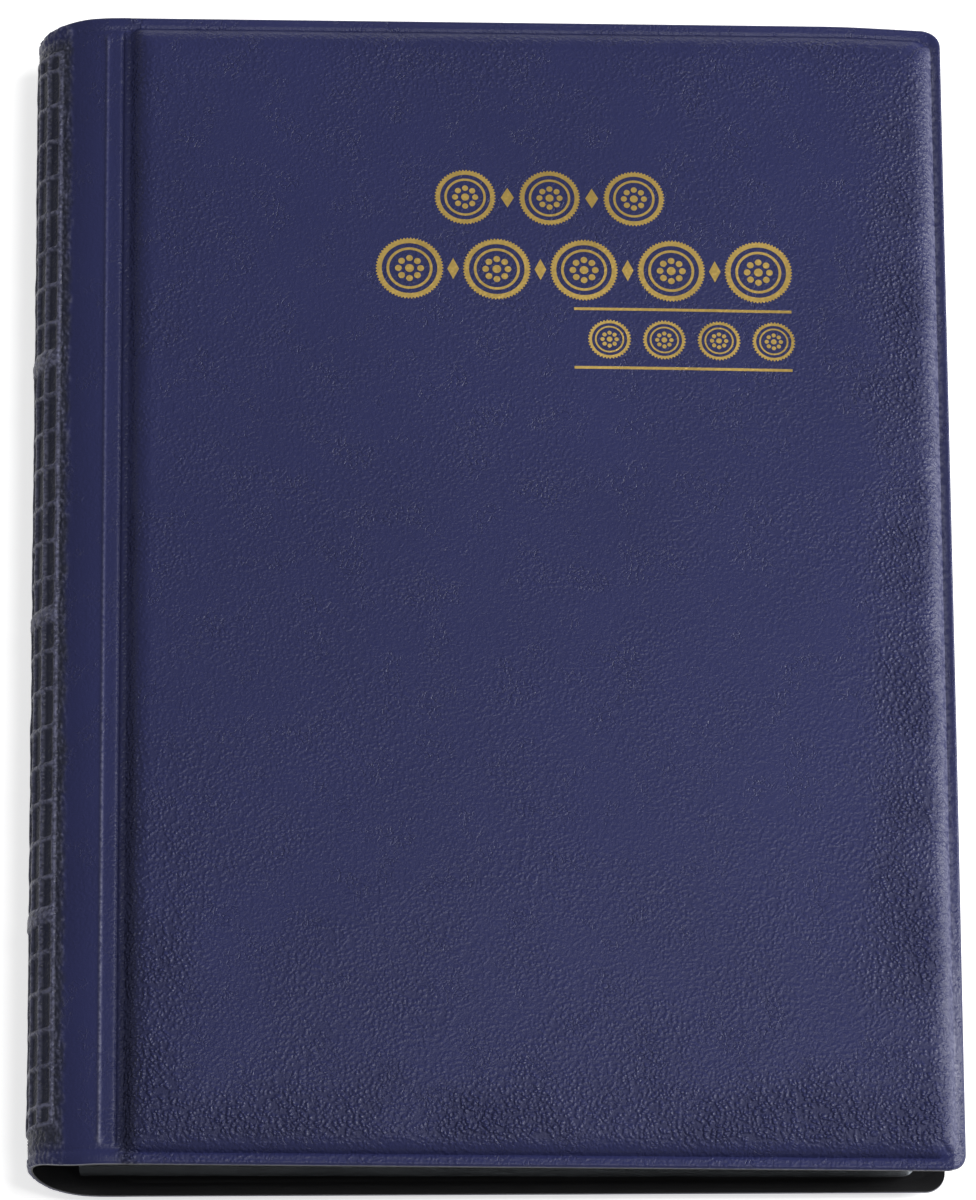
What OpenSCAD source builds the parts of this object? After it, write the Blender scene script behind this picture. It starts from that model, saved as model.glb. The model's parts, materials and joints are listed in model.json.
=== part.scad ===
// Closed coin album: two padded, edge-welded film covers, an embossed spine strip that bends
// between them, and ten clear pocket pages on a binding strip inside the spine.
// Row frame, in mm: +X to the fore edge, +Y to the head, +Z up; the back cover lies on z = 0.

/* [Album] */
// Outside width, from the spine to the front cover's fore edge
album_w = 140; // [100:1:220]
// Height of the covers, head to tail
album_h = 190; // [120:1:300]
// Distance between the outer faces of the two rims at the spine
spine_t = 14.3; // [11.8:0.1:30]
// The same distance at the fore edge
fore_t = 9.7; // [9.4:0.1:28]
// How far the back cover ends short of the front cover
back_short = 3; // [0:0.5:6]
// Radius of the covers' fore corners
corner_r = 3; // [1:0.5:10]

/* [Cover] */
// Thickness of the outer film
skin_t = 0.45; // [0.3:0.05:1]
// Thickness of the lining film
lining_t = 0.25; // [0.15:0.05:0.6]
// Thickness of the stiffening boards
board_t = 1.4; // [0.8:0.1:3]
// Height of the front panel's shoulder over the rim
front_rise = 2.1; // [1.8:0.1:4]
// Extra height of the front panel's crown at its middle
front_crown = 0.55; // [0.1:0.05:2]
// Height of the back panel over its rim, with the foam pressed flat
back_rise = 2; // [1.8:0.1:4]
// Width of the rounded shoulder around a panel
shoulder_w = 3.4; // [2:0.1:8]
// Width of the welded rim at the head and tail
rim_end_w = 2; // [1:0.1:6]
// Width of the welded rim at the fore edge
rim_fore_w = 1.6; // [1:0.1:6]
// Width of the weld between a panel and its spine groove
rim_spine_w = 1; // [0.6:0.1:4]

/* [Spine] */
// Distance from the spine's outermost point to the cover's weld groove
groove_x = 13.4; // [12.4:0.1:20]
// Distance from the spine's outermost point to where its curve ends
curve_w = 12; // [9:0.1:18]
// Angle of the curve that carries the embossed strip, above and below its middle
strip_half = 66.7; // [55:0.1:75]
// Angle of the middle fifth above and below its middle
middle_half = 22.2; // [15:0.1:30]
// How far the strip's head and tail ends curve in at the spine's outermost point
end_in = 1.65; // [0.2:0.05:4]
// Width of that curve, from the outermost point
end_w = 9; // [4:0.5:12]
// Height of the raised ribs over the cells
rib_h = 0.22; // [0.1:0.02:0.5]
// Width of a raised rib
rib_w = 0.75; // [0.4:0.05:1.5]
// Pitch of the ribs that cross the strip
rung_pitch = 6.14; // [4:0.02:10]
// Number of ribs that cross the strip
rung_count = 29; // [10:1:60]
// Distance from the covers' head edge to the first crossing rib
rung_start = 8; // [2:0.5:20]
// Width of a raised band, which takes the place of a crossing rib
band_w = 2.9; // [1:0.1:5]

/* [Pages] */
// Number of pages
page_count = 10; // [1:1:20]
// Distance from the pages' fore edge to the front cover's
page_fore_gap = 7.4; // [4:0.1:20]
// Distance from the pages to the covers' head and tail edges
page_end_gap = 2.3; // [1:0.1:10]
// Thickness of a page's backing film
backing_t = 0.18; // [0.1:0.02:0.4]
// Thickness of a pocket strip with its pocket space
pocket_t = 0.26; // [0.2:0.02:0.6]
// Depth of the pocket space inside a strip
pocket_space = 0.1; // [0.04:0.02:0.3]
// Width of the free margin at the binding
page_margin = 4.6; // [2:0.1:20]
// Width of a weld between pockets
weld_w = 1.6; // [0.8:0.1:4]
// Pockets across a page
pocket_cols = 3; // [1:1:6]
// Pocket strips down a page
pocket_rows = 4; // [1:1:8]
// Thickness of the binding bar
bar_t = 1.2; // [0.8:0.1:3]
// Thickness of the web between the binding bar and the spine
web_t = 0.8; // [0.5:0.1:2]
// Length by which the binding stops short of each end of the covers
bar_short = 4; // [2:0.5:20]

/* [Hidden] */
$fn = 48;
eps = 0.01;
cut = 1;
gap = 0.08;
// film stack at a rim, and the heights that follow from it
rim_t = skin_t + lining_t;
back_rim_z = back_rise;
back_in_z = back_rim_z + rim_t;
mid_z = back_rim_z + spine_t / 2;
front_rim_z = back_rim_z + spine_t;
left_x = -album_w / 2;
fore_x = album_w / 2;
groove_at = left_x + groove_x;
wedge = atan((spine_t - fore_t) / (fore_x - groove_at));
front_w = (fore_x - groove_at) / cos(wedge);
back_w = front_w - back_short;
// the spine's two radii: strip_r around the strip, side_r beside it, one tangent to the other
side_half = 90 - strip_half;
strip_r = (spine_t / 2 - curve_w * tan(side_half / 2)) / (1 - tan(side_half / 2));
crest_r = strip_r + rib_h;
strip_cx = left_x + crest_r;
side_r = strip_r + (curve_w - strip_r) / sin(side_half);
side_cx = left_x + rib_h + curve_w;
end_r = (end_in * end_in + end_w * end_w) / (2 * end_in);
// ribs of the grid: six columns over the strip
col_a = middle_half;
rib_a = rib_w / strip_r * 180 / PI;
// crossing ribs that are raised bands, counted from the head, and a rib's half width
bands = [8, 15, 23];
function rung_half(k) = (len(search(k, bands)) > 0 ? band_w : rib_w) / 2;
// pages
binding_x = strip_cx + bar_t;
page_end_x = fore_x - page_fore_gap;
page_w = page_end_x - binding_x;
page_h = album_h - 2 * page_end_gap;
// the pages lie midway between the two linings, evenly spaced
page_slope = wedge / 2;
page_room = spine_t - 2 * rim_t - (spine_t - fore_t) * (page_end_x - groove_at) / (fore_x - groove_at);
page_pitch = page_room / page_count;
binding_h = page_count * page_pitch;
page_mid_z = mid_z + (groove_at - binding_x) * tan(page_slope) - pocket_t / 2;
strip_p = (page_h - 2 * weld_w) / pocket_rows;
strip_l = page_w - page_margin - weld_w / 2;
pocket_p = (strip_l - weld_w) / pocket_cols;

navy = [0.20, 0.21, 0.36];
ribbed = [0.26, 0.27, 0.36];
black = [0.05, 0.05, 0.06];
foam = [0.85, 0.84, 0.78];
board = [0.62, 0.56, 0.46];
clear = [0.80, 0.83, 0.88, 0.45];
white = [0.75, 0.77, 0.80];

// ---- cover: drawn flat, x from its groove to its fore edge, z up from the lining's inner face ----

// corner points of a cover outline inset by d, with r1 at the groove's corners and r2 at the fore ones
ring_steps = 6;
function arc_pts(cx, cy, r, a) = [for (k = [0:ring_steps])
    [cx + r * cos(a + k * 90 / ring_steps), cy + r * sin(a + k * 90 / ring_steps)]];
function outline(x0, x1, h, r1, r2) = concat(
    arc_pts(x1 - r2, h / 2 - r2, r2, 0), arc_pts(x0 + r1, h / 2 - r1, r1, 90),
    arc_pts(x0 + r1, -h / 2 + r1, r1, 180), arc_pts(x1 - r2, -h / 2 + r2, r2, 270));
// the panel's outline at the inset d, on a cover w wide
function panel_ring(w, d) = outline(rim_spine_w + skin_t + d, w - rim_fore_w - skin_t - d,
    album_h - 2 * (rim_end_w + skin_t + d), max(corner_r - 0.6 * d, 0.4), max(corner_r - 0.6 * d, 0.4));

shoulder_steps = 7;
crown_steps = 6;
crown_d = 48;
// [inset, height] of the panel's section, on the film's inner face: a shoulder, then the crown
function section(rise, crown) = concat(
    [for (k = [0:shoulder_steps]) let (a = k * 90 / shoulder_steps)
        [shoulder_w * (1 - cos(a)), rise * sin(a)]],
    [for (k = [1:crown_steps]) let (q = k / crown_steps)
        [shoulder_w + crown_d * q * q, rise + crown * (1 - pow(1 - q * q, 2))]]);
function at(pts, z) = [for (p = pts) [p[0], p[1], z]];
function flat(rings) = [for (r = rings) for (p = r) p];

// triangles of the wall between the rings j and k, of n points each, and of the lid on ring j
function band(n, j, k) = [for (i = [0:n - 1]) let (i2 = (i + 1) % n)
    each [[j * n + i, k * n + i, k * n + i2], [j * n + i, k * n + i2, j * n + i2]]];
function lid(n, j, up) = [for (i = [1:n - 2])
    up ? [j * n, j * n + i + 1, j * n + i] : [j * n, j * n + i, j * n + i + 1]];

// a closed solid lofted through rings of equal length, the first and last ones capped
module loft(rings) {
    n = len(rings[0]);
    m = len(rings);
    sides = [for (j = [0:m - 2]) each band(n, j, j + 1)];
    polyhedron(flat(rings), concat(sides, lid(n, 0, false), lid(n, m - 1, true)), convexity = 6);
}

// the outer film: rim, shoulder and crown as one formed sheet, closed below by its inner face
module skin(w, rise, crown) {
    s = section(rise, crown);
    last = len(s) - 1;
    rim = outline(0, w, album_h, 0.1, corner_r);
    over = [for (p = s) at(panel_ring(w, p[0] - skin_t * (1 - p[1] / rise)), lining_t + skin_t + p[1])];
    under = [for (k = [last:-1:0]) at(panel_ring(w, s[k][0]), lining_t + s[k][1])];
    n = len(rim);
    rings = concat([at(rim, lining_t), at(rim, lining_t + skin_t)], over);
    loop = concat(rings, under);
    m = len(loop);
    top = len(rings) - 1;
    sides = [for (j = [0:m - 1]) if (j != top) each band(n, j, (j + 1) % m)];
    polyhedron(flat(loop), concat(sides, lid(n, top, true), lid(n, top + 1, false)), convexity = 8);
}

// a foam sheet over the board, filling the panel up to the film
foam_in = 2;
foam_gap = 0.06;
module foam_sheet(w, rise, crown) {
    s = section(rise, crown);
    low = lining_t + board_t + eps;
    keep = [for (p = s) if (p[0] > foam_in && lining_t + p[1] - foam_gap > low + 0.1) p];
    edge = keep[0][0];
    rings = concat([at(panel_ring(w, edge), low)],
        [for (p = keep) at(panel_ring(w, p[0]), lining_t + p[1] - foam_gap)]);
    loft(rings);
}

module plate(x0, x1, h, r1, r2, z0, t) {
    translate([0, 0, z0])
        linear_extrude(t)
            union() {
                translate([x0 + r1, -h / 2])
                    square([x1 - x0 - r1 - r2, h]);
                translate([x0, -h / 2 + r1])
                    square([r1 + 1, h - 2 * r1]);
                translate([x1 - r2 - 1, -h / 2 + r2])
                    square([r2 + 1, h - 2 * r2]);
                for (s = [-1, 1]) {
                    translate([x0 + r1, s * (h / 2 - r1)])
                        circle(r1);
                    translate([x1 - r2, s * (h / 2 - r2)])
                        circle(r2);
                }
            }
}

board_in = 1.5;
module board_sheet(w) {
    plate(rim_spine_w + skin_t + board_in, w - rim_fore_w - skin_t - board_in,
        album_h - 2 * (rim_end_w + skin_t + board_in), 2, 2, lining_t + eps, board_t - eps);
}

module lining_sheet(w) {
    plate(0, w, album_h, 0.1, corner_r, 0, lining_t);
}

// a flat cover's place: the front one slopes down to the fore edge, the back one lies face down
module place_front() {
    translate([groove_at, 0, front_rim_z])
        rotate([0, wedge, 0])
            translate([gap, 0, -rim_t])
                children();
}
module place_back() {
    translate([groove_at + gap, 0, back_in_z])
        rotate([180, 0, 0])
            children();
}

module front_skin() { color(navy) place_front() skin(front_w - gap, front_rise, front_crown); }
module front_foam() { color(foam) place_front() foam_sheet(front_w - gap, front_rise, front_crown); }
module front_board() { color(board) place_front() board_sheet(front_w - gap); }
module front_lining() { color(black) place_front() lining_sheet(front_w - gap); }
module back_skin() { color(navy) place_back() skin(back_w - gap, back_rise, 0); }
module back_foam() { color(foam) place_back() foam_sheet(back_w - gap, back_rise, 0); }
module back_board() { color(board) place_back() board_sheet(back_w - gap); }
module back_lining() { color(black) place_back() lining_sheet(back_w - gap); }

// ---- spine: fifths of one bent strip, cut at its fold lines ----

// part of a tube wall around the y axis at (cx, cz), from angle a0 to a1 measured from -X towards +Z
module wall_arc(cx, cz, r0, r1, a0, a1, h) {
    translate([cx, h / 2, cz])
        rotate([90, 0, 0])
            rotate([0, 0, 180 - a1])
                rotate_extrude(angle = a1 - a0, $fn = 96)
                    translate([r0, 0])
                        square([r1 - r0, h]);
}

// half the fold gap as an angle on the strip
gap_a = gap / 2 / strip_r * 180 / PI;

// cells between a0 and a1, cut into the strip's crest
module cells(a0, a1) {
    for (k = [0:rung_count - 2]) {
        y1 = album_h / 2 - rung_start - k * rung_pitch - rung_half(k);
        y0 = album_h / 2 - rung_start - (k + 1) * rung_pitch + rung_half(k + 1);
        translate([0, (y0 + y1) / 2, 0])
            wall_arc(strip_cx, mid_z, strip_r, crest_r + cut, a0, a1, y1 - y0);
    }
}

module ribbed_wall(a0, a1, cols) {
    difference() {
        wall_arc(strip_cx, mid_z, strip_r - skin_t, crest_r, a0 + gap_a, a1 - gap_a, album_h);
        for (c = cols)
            cells(c * col_a + rib_a / 2, (c + 1) * col_a - rib_a / 2);
    }
}

module lining_wall(a0, a1) {
    wall_arc(strip_cx, mid_z, strip_r - rim_t, strip_r - skin_t, a0 + gap_a, a1 - gap_a, album_h);
}

// smooth side strip between the ribbed strip and a cover, for the upper side
side_gap_a = gap / 2 / side_r * 180 / PI;
module side_wall(out, t) {
    cz = mid_z + spine_t / 2 - side_r;
    wall_arc(side_cx, cz, side_r - out - t, side_r - out, strip_half + side_gap_a, 90, album_h);
    translate([side_cx - eps, -album_h / 2, front_rim_z - out - t])
        cube([groove_at - side_cx + eps, album_h, t]);
}

// the strip's ends, curved in towards the spine's outermost point
module trim_ends() {
    difference() {
        children();
        for (s = [-1, 1])
            translate([left_x + end_w, 0, -cut])
                linear_extrude(front_rim_z + 2 * cut)
                    difference() {
                        translate([-end_w - cut, s > 0 ? album_h / 2 - end_w : -album_h / 2 - cut])
                            square([end_w + cut, end_w + cut]);
                        translate([0, s * (album_h / 2 - end_r)])
                            circle(end_r, $fn = 180);
                    }
    }
}

module to_lower() {
    translate([0, 0, mid_z])
        mirror([0, 0, 1])
            translate([0, 0, -mid_z])
                children();
}

module spine_upper_strip_skin() { color(navy) trim_ends() side_wall(0, skin_t); }
module spine_lower_strip_skin() { color(navy) trim_ends() to_lower() side_wall(0, skin_t); }
module spine_upper_strip_lining() { color(black) trim_ends() side_wall(skin_t, lining_t); }
module spine_lower_strip_lining() { color(black) trim_ends() to_lower() side_wall(skin_t, lining_t); }
module spine_upper_rib_skin() { color(ribbed) trim_ends() ribbed_wall(middle_half, strip_half, [1, 2]); }
module spine_lower_rib_skin() { color(ribbed) trim_ends() to_lower() ribbed_wall(middle_half, strip_half, [1, 2]); }
module spine_middle_skin() { color(ribbed) trim_ends() ribbed_wall(-middle_half, middle_half, [-1, 0]); }
module spine_upper_rib_lining() { color(black) trim_ends() lining_wall(middle_half, strip_half); }
module spine_lower_rib_lining() { color(black) trim_ends() to_lower() lining_wall(middle_half, strip_half); }
module spine_middle_lining() { color(black) trim_ends() lining_wall(-middle_half, middle_half); }

// ---- binding and pages ----

module page_binding() {
    web_x = strip_cx - strip_r + rim_t + 0.03;
    l = album_h - 2 * bar_short;
    color(white) {
        translate([binding_x - bar_t, -l / 2, mid_z - binding_h / 2])
            cube([bar_t, l, binding_h]);
        translate([web_x, -l / 2, mid_z - web_t / 2])
            cube([binding_x - bar_t - web_x + eps, l, web_t]);
    }
}

// place of page i: its hinge line lies on the bar's face, in the middle of the backing
module place_page(i) {
    z = page_mid_z + (page_count + 1 - 2 * i) / 2 * page_pitch;
    translate([binding_x, 0, z])
        rotate([0, page_slope, 0])
            children();
}

root_gap = 0.5;
module backing(i) {
    place_page(i)
        translate([root_gap, -page_h / 2, -backing_t / 2])
            cube([page_w - root_gap, page_h, backing_t]);
}

// four strips, each a film with three pocket spaces that open towards the head
module pockets(i) {
    place_page(i)
        for (r = [0:pocket_rows - 1])
            translate([page_margin, -page_h / 2 + weld_w + r * strip_p, backing_t / 2])
                difference() {
                    cube([strip_l, strip_p - 0.6, pocket_t]);
                    for (c = [0:pocket_cols - 1])
                        translate([weld_w + c * pocket_p, weld_w, -eps])
                            cube([pocket_p - weld_w, strip_p + cut, pocket_space + eps]);
                }
}

module page_01_backing() { color(clear) backing(1); }
module page_02_backing() { color(clear) backing(2); }
module page_03_backing() { color(clear) backing(3); }
module page_04_backing() { color(clear) backing(4); }
module page_05_backing() { color(clear) backing(5); }
module page_06_backing() { color(clear) backing(6); }
module page_07_backing() { color(clear) backing(7); }
module page_08_backing() { color(clear) backing(8); }
module page_09_backing() { color(clear) backing(9); }
module page_10_backing() { color(clear) backing(10); }
module page_01_pockets() { color(clear) pockets(1); }
module page_02_pockets() { color(clear) pockets(2); }
module page_03_pockets() { color(clear) pockets(3); }
module page_04_pockets() { color(clear) pockets(4); }
module page_05_pockets() { color(clear) pockets(5); }
module page_06_pockets() { color(clear) pockets(6); }
module page_07_pockets() { color(clear) pockets(7); }
module page_08_pockets() { color(clear) pockets(8); }
module page_09_pockets() { color(clear) pockets(9); }
module page_10_pockets() { color(clear) pockets(10); }

front_skin();
front_foam();
front_board();
front_lining();
back_skin();
back_foam();
back_board();
back_lining();
spine_upper_strip_skin();
spine_upper_rib_skin();
spine_middle_skin();
spine_lower_rib_skin();
spine_lower_strip_skin();
spine_upper_strip_lining();
spine_upper_rib_lining();
spine_middle_lining();
spine_lower_rib_lining();
spine_lower_strip_lining();
page_binding();
page_01_backing();
page_02_backing();
page_03_backing();
page_04_backing();
page_05_backing();
page_06_backing();
page_07_backing();
page_08_backing();
page_09_backing();
page_10_backing();
page_01_pockets();
page_02_pockets();
page_03_pockets();
page_04_pockets();
page_05_pockets();
page_06_pockets();
page_07_pockets();
page_08_pockets();
page_09_pockets();
page_10_pockets();
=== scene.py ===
import json
import math

import bmesh
import bpy
from bpy.props import FloatProperty, FloatVectorProperty, IntProperty, PointerProperty
from bpy.types import Operator, Panel, PropertyGroup
from mathutils import Matrix, Vector, noise
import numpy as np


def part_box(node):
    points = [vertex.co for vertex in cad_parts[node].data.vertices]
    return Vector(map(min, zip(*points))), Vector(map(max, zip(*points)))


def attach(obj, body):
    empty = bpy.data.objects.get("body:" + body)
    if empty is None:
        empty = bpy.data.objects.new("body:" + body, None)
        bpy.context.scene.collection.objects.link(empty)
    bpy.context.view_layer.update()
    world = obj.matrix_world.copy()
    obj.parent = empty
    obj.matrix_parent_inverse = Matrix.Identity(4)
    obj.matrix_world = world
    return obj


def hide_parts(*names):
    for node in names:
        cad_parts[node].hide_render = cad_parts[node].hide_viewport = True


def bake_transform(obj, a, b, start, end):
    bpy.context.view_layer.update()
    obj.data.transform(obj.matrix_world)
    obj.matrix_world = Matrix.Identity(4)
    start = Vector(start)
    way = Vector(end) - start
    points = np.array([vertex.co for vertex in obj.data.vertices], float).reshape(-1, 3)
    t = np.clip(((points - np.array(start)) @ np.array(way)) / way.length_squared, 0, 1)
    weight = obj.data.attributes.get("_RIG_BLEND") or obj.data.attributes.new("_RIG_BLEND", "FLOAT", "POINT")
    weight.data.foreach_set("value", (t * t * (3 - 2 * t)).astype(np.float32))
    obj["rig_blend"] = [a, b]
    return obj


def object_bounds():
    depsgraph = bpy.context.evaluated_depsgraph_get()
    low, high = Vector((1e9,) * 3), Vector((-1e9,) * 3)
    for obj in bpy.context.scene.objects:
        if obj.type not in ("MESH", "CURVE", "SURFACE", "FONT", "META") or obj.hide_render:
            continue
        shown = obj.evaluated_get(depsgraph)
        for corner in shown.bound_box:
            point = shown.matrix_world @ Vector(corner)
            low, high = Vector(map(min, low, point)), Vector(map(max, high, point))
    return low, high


bl_info = {
    "name": "Coin Album",
    "version": (1, 0, 0),
    "blender": (4, 5, 0),
    "location": "3D View > Sidebar > Coin Album",
    "description": "Builds a padded coin album with a bending spine and clear pocket pages",
    "category": "Object",
}

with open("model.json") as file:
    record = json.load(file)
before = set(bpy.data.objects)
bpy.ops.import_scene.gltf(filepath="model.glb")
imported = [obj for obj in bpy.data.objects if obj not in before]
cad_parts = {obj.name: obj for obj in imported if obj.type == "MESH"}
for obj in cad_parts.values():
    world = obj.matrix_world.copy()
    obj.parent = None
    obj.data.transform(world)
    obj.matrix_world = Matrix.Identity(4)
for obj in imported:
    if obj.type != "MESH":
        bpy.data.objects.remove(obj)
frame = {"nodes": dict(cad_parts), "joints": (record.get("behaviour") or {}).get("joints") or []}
CAD_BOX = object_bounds()
MM = 0.001

# fold lines and page hinges, in mm, as (x, z) in the album's frame
FOLD = {j["name"]: (j["pos_m"][0] / MM, j["pos_m"][2] / MM) for j in frame["joints"]}
GROOVE_X, FRONT_Z = FOLD["front_groove_fold"]
BACK_Z = FOLD["back_groove_fold"][1]
MID_Z = (FRONT_Z + BACK_Z) / 2
HALF_H = CAD_BOX[1].y / MM
LEFT_X = CAD_BOX[0].x / MM

# lengths that several pieces share, in mm
RIM_T = 0.7  # thickness of a welded rim, both films together
GROOVE_GAP = 0.08  # from a fold line to the zero of a cover's own measure
SHEET_START = 1.0  # from that zero to the cover's sheet; the spine film reaches up to there
RIDGE_X = 2.45  # from a groove to the dotted ridge on the hinge
WORK_T = 0.25  # distance between the two faces of a sheet until they are placed

PAINTED_HIGHLIGHT = (0.135, 0.138, 0.215)  # painted highlight colour of the film on the ribs, the hinge ridge and the fore weld line, where light catches them


# ---- properties


def length_property(name, description, default, low, high):
    """A length with its default and limits in mm."""
    return FloatProperty(
        name=name, description=description, default=default * MM, min=low * MM, max=high * MM,
        unit="LENGTH", subtype="DISTANCE", precision=5)


def colour_property(name, description, default):
    """A colour in linear light."""
    return FloatVectorProperty(
        name=name, description=description, default=default, size=3, min=0.0, max=1.0, subtype="COLOR")


class AlbumSizes(PropertyGroup):
    """Sizes of the album's covers, spine and pages"""

    skin_t: length_property("Outer film", "Thickness of the outer film", 0.45, 0.1, 2.0)
    lining_t: length_property("Lining film", "Thickness of the lining film", 0.25, 0.1, 1.0)
    front_rise: length_property(
        "Front rise", "Height of the front panel's shoulder over its rim", 2.1, 0.5, 6.0)
    front_crown: length_property(
        "Front crown", "Extra height at the middle of the front panel", 0.55, 0.0, 3.0)
    back_rise: length_property("Back rise", "Height of the back panel over its rim", 2.0, 0.5, 6.0)
    shoulder_w: length_property("Shoulder", "Width of the rounded shoulder around a panel", 3.85, 1.0, 10.0)
    rim_end_w: length_property("End rim", "Width of the welded rim at the head and tail", 2.0, 0.5, 6.0)
    rim_fore_w: length_property("Fore rim", "Width of the welded rim at the fore edge", 1.6, 0.5, 6.0)
    corner_r: length_property("Corner", "Radius of the covers' fore corners", 3.0, 0.5, 10.0)
    wedge: FloatProperty(
        name="Wedge", description="Slope of the front cover towards the fore edge",
        default=math.radians(2.0809), min=0.0, max=0.2, unit="ROTATION", subtype="ANGLE")
    strip_half: FloatProperty(
        name="Strip angle", description="Angle of the embossed strip above and below its middle",
        default=math.radians(66.7), min=0.8, max=1.4, unit="ROTATION", subtype="ANGLE")
    rib_h: length_property("Rib height", "Height of the embossed ribs over the cells", 0.22, 0.0, 1.0)
    rib_w: length_property("Rib width", "Width of an embossed rib", 0.75, 0.2, 2.0)
    rung_pitch: length_property("Rib pitch", "Pitch of the ribs that cross the spine", 6.14, 2.0, 20.0)
    pocket_cols: IntProperty(
        name="Pockets across", description="Pockets across a page", default=3, min=1, max=6)
    pocket_rows: IntProperty(
        name="Pocket strips", description="Pocket strips down a page", default=4, min=1, max=8)


class AlbumFinish(PropertyGroup):
    """Colours and grain of the album's materials"""

    cover: colour_property("Cover film", "Colour of the padded covers", (0.020, 0.023, 0.085))
    spine: colour_property("Spine film", "Colour of the embossed spine strip", (0.020, 0.022, 0.038))
    lining: colour_property("Lining film", "Colour of the lining inside the covers", (0.009, 0.009, 0.010))
    foil: colour_property("Foil", "Colour of the hot foil ornament", (0.98, 0.68, 0.20))
    # a grey tint of the clear film, darkened partly as painted shade for the page stack under the front cover
    page: colour_property("Page film", "Tint of the clear page film", (0.25, 0.27, 0.295))
    grain_size: length_property("Grain size", "Size of a pebble of the leather grain", 0.60, 0.2, 5.0)


def album_sizes():
    """The sizes set in the panel."""
    return bpy.context.scene.album_sizes


def album_finish():
    """The colours and grain set in the panel."""
    return bpy.context.scene.album_finish


# ---- mesh helpers


def smooth(a, b, x):
    """0 below a, 1 above b, and a smooth step between them."""
    t = min(max((x - a) / (b - a), 0.0), 1.0)
    return t * t * (3 - 2 * t)


def hill(x, centre, width):
    """A bell of height 1 at centre."""
    return math.exp(-((x - centre) / width) ** 2)


def soft_min(a, b, k):
    """The lower of two distances, rounded where they meet."""
    h = max(k - abs(a - b), 0.0) / k
    return min(a, b) - h * h * k / 4


def ripple(x, y, size, seed):
    """Smooth noise between about -1 and 1, with features of that size in mm."""
    return noise.noise(Vector((x / size, y / size, seed)))


def stops(a, b, step, marks=()):
    """Positions from a to b no further apart than step, with extra ones at each mark."""
    inner = sorted({a, b, *[m for m in marks if a < m < b]})
    out = [inner[0]]
    for p, q in zip(inner, inner[1:]):
        if q - p < 1e-6:
            continue
        n = max(1, math.ceil((q - p) / step))
        out += [p + (q - p) * k / n for k in range(1, n + 1)]
    return out


def look_up(table, t):
    """The position at the share t along a table of stops."""
    return table[round(t * (len(table) - 1))]


def slab(bm, xs, ys, place):
    """Adds a closed sheet: a grid with its columns at xs and rows at ys, given a thickness.

    place(x, y, top) returns a point in mm; top is True on the outer face.
    Returns {vertex: (x, y, top)}.
    """
    before = set(bm.verts)
    bmesh.ops.create_grid(bm, x_segments=len(xs) - 1, y_segments=len(ys) - 1, size=0.5)
    flat = [f for f in bm.faces if not any(v in before for v in f.verts)]
    bmesh.ops.solidify(bm, geom=flat, thickness=WORK_T)
    new = [v for v in bm.verts if v not in before]
    high = max(v.co.z for v in new)
    made = {}
    for v in new:
        x, y = look_up(xs, v.co.x + 0.5), look_up(ys, v.co.y + 0.5)
        made[v] = (x, y, abs(v.co.z - high) < WORK_T / 2)
    for v, (x, y, top) in made.items():
        v.co = place(x, y, top)
    return made


def new_bmesh(*attributes):
    """An empty bmesh with named point attributes."""
    bm = bmesh.new()
    for name in attributes:
        bm.verts.layers.float.new(name)
    return bm


def paint(bm, name, made, value):
    """Gives each vertex of a slab a value, kept as a point attribute of the mesh."""
    layer = bm.verts.layers.float[name]
    for v, (x, y, top) in made.items():
        v[layer] = value(x, y, top)


def lay_uv(bm, made):
    """Lays a UV map in metres by a slab's own columns and rows."""
    layer = bm.loops.layers.uv.verify()
    for face in bm.faces:
        for loop in face.loops:
            if loop.vert in made:
                x, y = made[loop.vert][:2]
                loop[layer].uv = (x * MM, y * MM)


def add_object(name, data):
    """A new object with that data, in the scene."""
    made = bpy.data.objects.new(name, data)
    bpy.context.scene.collection.objects.link(made)
    return made


def to_piece(bm, name, material, crisp=50):
    """Turns a bmesh in mm into an object in metres, at the origin, with outward normals."""
    bmesh.ops.recalc_face_normals(bm, faces=bm.faces)
    limit = math.radians(crisp)
    for edge in bm.edges:
        if len(edge.link_faces) == 2 and edge.calc_face_angle(0) > limit:
            edge.smooth = False
    for face in bm.faces:
        face.smooth = True
    bmesh.ops.scale(bm, vec=(MM, MM, MM), verts=bm.verts)
    mesh = bpy.data.meshes.new(name)
    bm.to_mesh(mesh)
    bm.free()
    mesh.materials.append(material)
    return add_object(name, mesh)


# ---- the album's form, in mm


def on_front(x, y, z):
    """A point of the flat front cover, put on the closed album."""
    w = album_sizes().wedge
    head_sag, rim_from, tilt_at_head, tilt_lost = 0.8, 124.7, 0.2, 0.85
    y -= head_sag * max(y / HALF_H, 0.0) * smooth(108, 132, x)
    z += max(x - rim_from, 0.0) * (tilt_at_head - tilt_lost * smooth(15, 90, -y))
    x, z = x + GROOVE_GAP, z - RIM_T
    return Vector((GROOVE_X + x * math.cos(w) + z * math.sin(w), y,
                   FRONT_Z - x * math.sin(w) + z * math.cos(w)))


def on_back(x, y, z):
    """A point of the flat back cover, put face down on the closed album."""
    return Vector((GROOVE_X + GROOVE_GAP + x, -y, BACK_Z + RIM_T - z))


def cover_width(node):
    """Width of a flat cover, from its groove to its fore edge."""
    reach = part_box(node)[1].x / MM - GROOVE_X
    lean = album_sizes().wedge if node.startswith("front") else 0.0
    return reach / math.cos(lean) - GROOVE_GAP


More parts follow.
